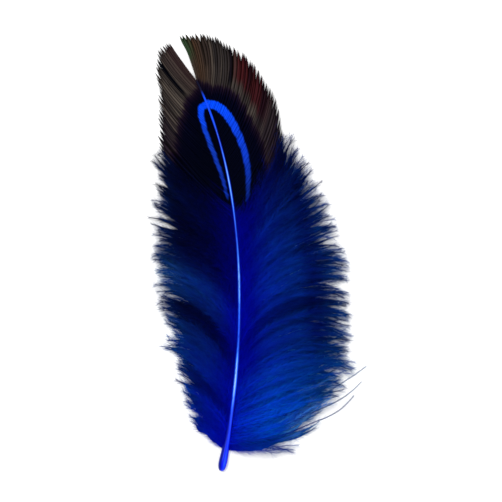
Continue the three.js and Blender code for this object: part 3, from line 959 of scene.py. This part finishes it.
def down_mesh(side, layer, name, seed):
    """One layer of the down: layer is 1 for the upper barbs and -1 for those underneath."""
    draw = np.random.default_rng(seed)
    count = DOWN_BARBS
    table = DOWN_TABLES[side]
    roots = np.linspace(DOWN_START, DOWN_END, count)
    roots = roots + draw.uniform(-1, 1, count) * DOWN_ROOT_SPREAD
    shares = np.linspace(0, 1, DOWN_STEPS)
    reach = DOWN_LONGEST - DOWN_SHORTNESS * draw.random(count) ** 1.6
    swing = draw.normal(0, DOWN_SWING, count)
    curl = draw.normal(0, DOWN_CURL, count)
    fluffiness = np.ones(count)
    astray = np.zeros(count, bool)
    if side > 0:
        curl += LOW_RIGHT_CURL * (1 - smooth(roots, *LOW_RIGHT_REACH))
    if side > 0 and layer > 0:
        # a short tuft points down from the lower edge, and three long slim barbs curl away from it
        strays = STRAYS[:, 0].astype(int)
        reach[strays], swing[strays], curl[strays], fluffiness[strays] = STRAYS[:, 1:].T
        astray[strays] = True
    places, directions, runs = barb_paths(side, table, roots, shares, reach, swing, curl)
    normals = turned_right(directions)

    # the barbs of a lock draw together from about a third of their length on
    lock_ends = np.cumsum(draw.integers(*LOCK_BARBS, count))
    lock = np.searchsorted(lock_ends, np.arange(count), side="right")
    lock_roots = np.array([roots[lock == number].mean() for number in lock])
    lock_swing = draw.normal(0, LOCK_SWING, count)[lock]
    lock_curl = draw.normal(0, LOCK_CURL, count)[lock]
    lock_places, _, _ = barb_paths(side, table, lock_roots, shares, reach, lock_swing, lock_curl)
    tightness = LOCK_TIGHTNESS[side] * (1 if layer > 0 else UNDER_TIGHTNESS)
    gather = tightness * column(~astray) * smooth(shares, *LOCK_GATHERING)
    places = mix(places, lock_places, gather[..., None])
    bends = shares * draw.uniform(*DOWN_WAVES, (count, 1)) + draw.random((count, 1))
    wave = DOWN_WAVE * shares**1.2 * np.sin(2 * math.pi * bends)
    places = places + wave[..., None] * normals
    full_lengths = np.interp(roots, table[:, 0], table[:, 3])
    path = raised(places, down_heights(draw, layer, roots, shares, full_lengths))

    if layer > 0:
        half_widths = RIB_HALF_WIDTH * mix(1.0, RIB_TIP_SHARE, shares)
        half_widths = half_widths * mix(BARE_RIB_GROWTH, 1.0, column(fluffiness))
    else:
        half_widths = mix(UNDER_HALF_WIDTH, UNDER_TIP_HALF_WIDTH, smooth(shares, 0.7, 1.0))
    half_widths = np.broadcast_to(half_widths, runs.shape)
    sideways = raised(normals, np.zeros(runs.shape))
    shade = np.interp(lock_roots, *LOCK_SHADES[side].T)
    uneven = draw.normal(0, LOCK_SHADE_SPREAD, count)[lock] + draw.normal(0, BARB_SHADE_SPREAD, count)
    shade = np.clip(shade + uneven * mix(DARK_SPREAD, 1.0, shade), 0, 1)
    shade[astray] *= STRAY_SHADE
    strand = draw.random(count)
    values = {
        "along": np.broadcast_to(column(roots), runs.shape),
        "run": runs,
        "strand": np.broadcast_to(column(strand), runs.shape),
        "shade": np.broadcast_to(column(shade), runs.shape),
        "edge": np.broadcast_to(shares, runs.shape),
    }
    ribs = blade_mesh(name, path, sideways, half_widths, RIB_SECTION, values)

    lengths = full_lengths * reach
    number, share, spikes = barbule_spikes(draw, path, lengths, fluffiness)
    spike_strand = strand[number] + draw.normal(0, 0.003, len(number))
    uneven = draw.normal(0, BARBULE_SHADE_SPREAD, len(number)) * mix(DARK_SPREAD, 1.0, shade[number])
    spike_values = {
        "along": roots[number],
        "run": share * lengths[number],
        "strand": spike_strand,
        "shade": np.clip(shade[number] + uneven, 0, 1),
        "edge": share,
    }
    return with_barbules(ribs, name, number, share, spikes, lengths, spike_values)


DOWN_COLOURS = {  # along a barb, from 0 to 20 mm: in shadow, in light, and in light next to the quill
    -1: (
        [(0.0, (0, 0, 130)), (0.13, (0, 0, 92)), (0.3, (0, 0, 34)), (0.6, (0, 0, 24)), (1.0, (1, 10, 32))],
        [
            (0.0, (0, 4, 170)), (0.14, (0, 10, 158)), (0.3, (2, 32, 134)), (0.6, (4, 46, 122)),
            (1.0, (26, 76, 116)),
        ],
        [(0.0, (0, 12, 200)), (0.3, (0, 28, 165)), (1.0, (6, 58, 140))],
    ),
    1: (
        [
            (0.0, (0, 0, 130)), (0.17, (0, 0, 96)), (0.4, (0, 3, 58)), (0.65, (0, 2, 34)),
            (1.0, (0, 8, 38)),
        ],
        [
            (0.0, (0, 4, 170)), (0.17, (0, 8, 162)), (0.36, (2, 42, 174)), (0.6, (2, 46, 144)),
            (0.72, (0, 20, 98)), (1.0, (4, 38, 90)),
        ],
        [(0.0, (0, 26, 225)), (0.3, (0, 92, 255)), (0.65, (0, 80, 205)), (1.0, (6, 78, 150))],
    ),
}
DOWN_TINT = (1.0, 0.56, 0.95, 1.0)  # what the light that passes through the barbs adds is taken off
DOWN_GLOW = 0.5  # share of the light that passes through a barb
DOWN_GLOW_DEPTH = 0.1
DOWN_STREAKS = 1.0


def down_material(name, side, brightness):
    material, tree, shader = new_material(name, roughness=0.6, specular=0.08)
    shader.inputs["Subsurface Weight"].default_value = DOWN_GLOW
    shader.inputs["Subsurface Radius"].default_value = (1, 1, 1)
    shader.inputs["Subsurface Scale"].default_value = DOWN_GLOW_DEPTH * MM
    along, run, strand, shade, edge = attributes(tree, "along", "run", "strand", "shade", "edge")
    place = shifted(tree, run, 0.0, 20.0)
    dark, light, low = (screen_ramp(tree, place, stops) for stops in DOWN_COLOURS[side])
    light = blend_colours(tree, shifted(tree, along, 0.26, 0.12), light, low)
    colour = blend_colours(tree, shade, dark, light)

    # the thin ends are paler, partly their own paler tips and partly painted light shining through them,
    # most of all in the light locks
    tip_light_strength = calculate(tree, "ADD", calculate(tree, "MULTIPLY", shade, 0.4), 0.15)
    tip_light_share = calculate(tree, "MULTIPLY", shifted(tree, edge, 0.8, 1.0), tip_light_strength)
    colour = blend_colours(tree, tip_light_share, colour, display(8, 74, 150))
    if side > 0:
        # a few of the lowest light barbs on the right catch the light at their ends
        low_share = shifted(tree, along, 0.16, 0.12)
        some_barbs = shifted(tree, strand, 0.55, 0.6)
        outer_part = shifted(tree, edge, 0.5, 0.7)
        glint_share = calculate(tree, "MULTIPLY", low_share, some_barbs, outer_part, shade, shade)
        colour = blend_colours(tree, glint_share, colour, display(70, 200, 255))
    else:
        # the left side's topmost locks lie in shadow
        colour = shaded(tree, colour, share_ramp(tree, along, (0.48, 1), (0.57, 0.4)))
    colour = shaded(tree, colour, DOWN_TINT)
    factor = calculate(tree, "MULTIPLY", streaks(tree, strand, run, DOWN_STREAKS), brightness)
    tree.links.new(scaled_colour(tree, colour, factor), shader.inputs["Base Color"])
    return material


for side, word in ((-1, "left"), (1, "right")):
    # the under layer has the lower brightness: painted shade beneath the upper layer
    for layer, height_word, brightness in ((1, "upper", 1.25), (-1, "under", 0.6)):
        mesh = down_mesh(side, layer, f"{word} {height_word} down", 30 + 2 * side + layer)
        material = down_material(f"{word} {height_word} down", side, brightness)
        place_in_scene(f"{word}_{height_word}_down_barbs", mesh, material, f"{word}_down")

sizes = {"cad": cad_box, "visual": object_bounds()}
sizes = {name: [list(map(float, corner)) for corner in box] for name, box in sizes.items()}
